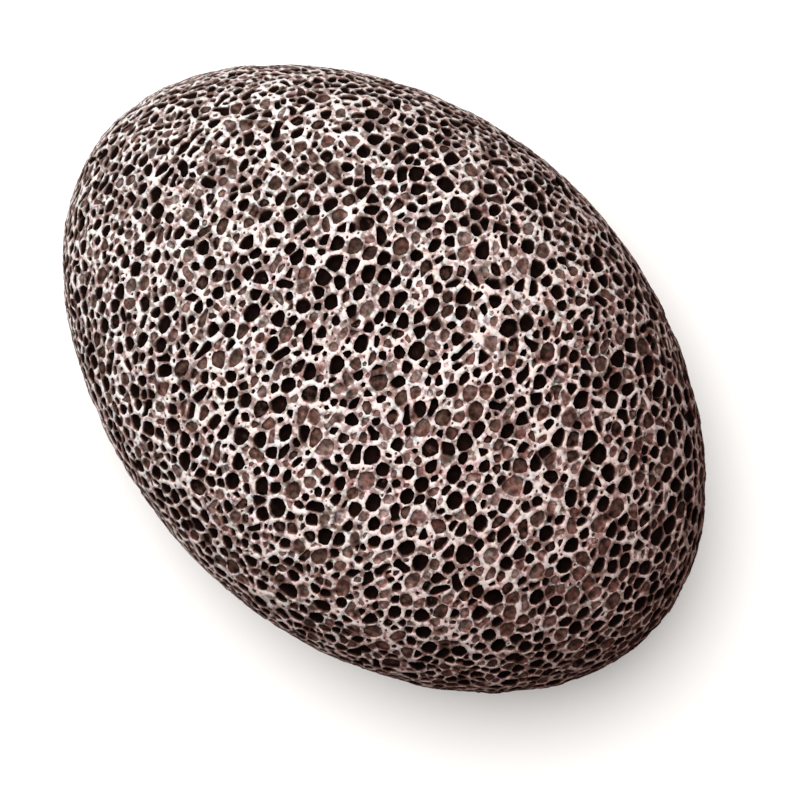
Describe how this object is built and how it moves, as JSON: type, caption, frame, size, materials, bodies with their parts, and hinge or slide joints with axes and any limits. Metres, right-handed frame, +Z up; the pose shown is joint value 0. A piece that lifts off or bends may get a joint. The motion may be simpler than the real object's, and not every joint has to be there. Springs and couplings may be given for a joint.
{
  "type": "pumice stone",
  "caption": "Oval pebble of dark lava pumice, riddled with open bubbles, held in the hand to rub down hard skin.",
  "frame": {"origin": "under the middle of the stone, in the plane of the worn patch it rests on, the bottom centre of its box", "axes": "+X along the stone, towards its coarser end; +Y across its width; +Z up, through its thickness"},
  "size_m": [0.1106, 0.0794, 0.0456],
  "materials": {
    "vesicular_lava": "matte"
  },
  "bodies": {
    "root": {"pumice_stone": "vesicular_lava"}
  },
  "joints": []
}
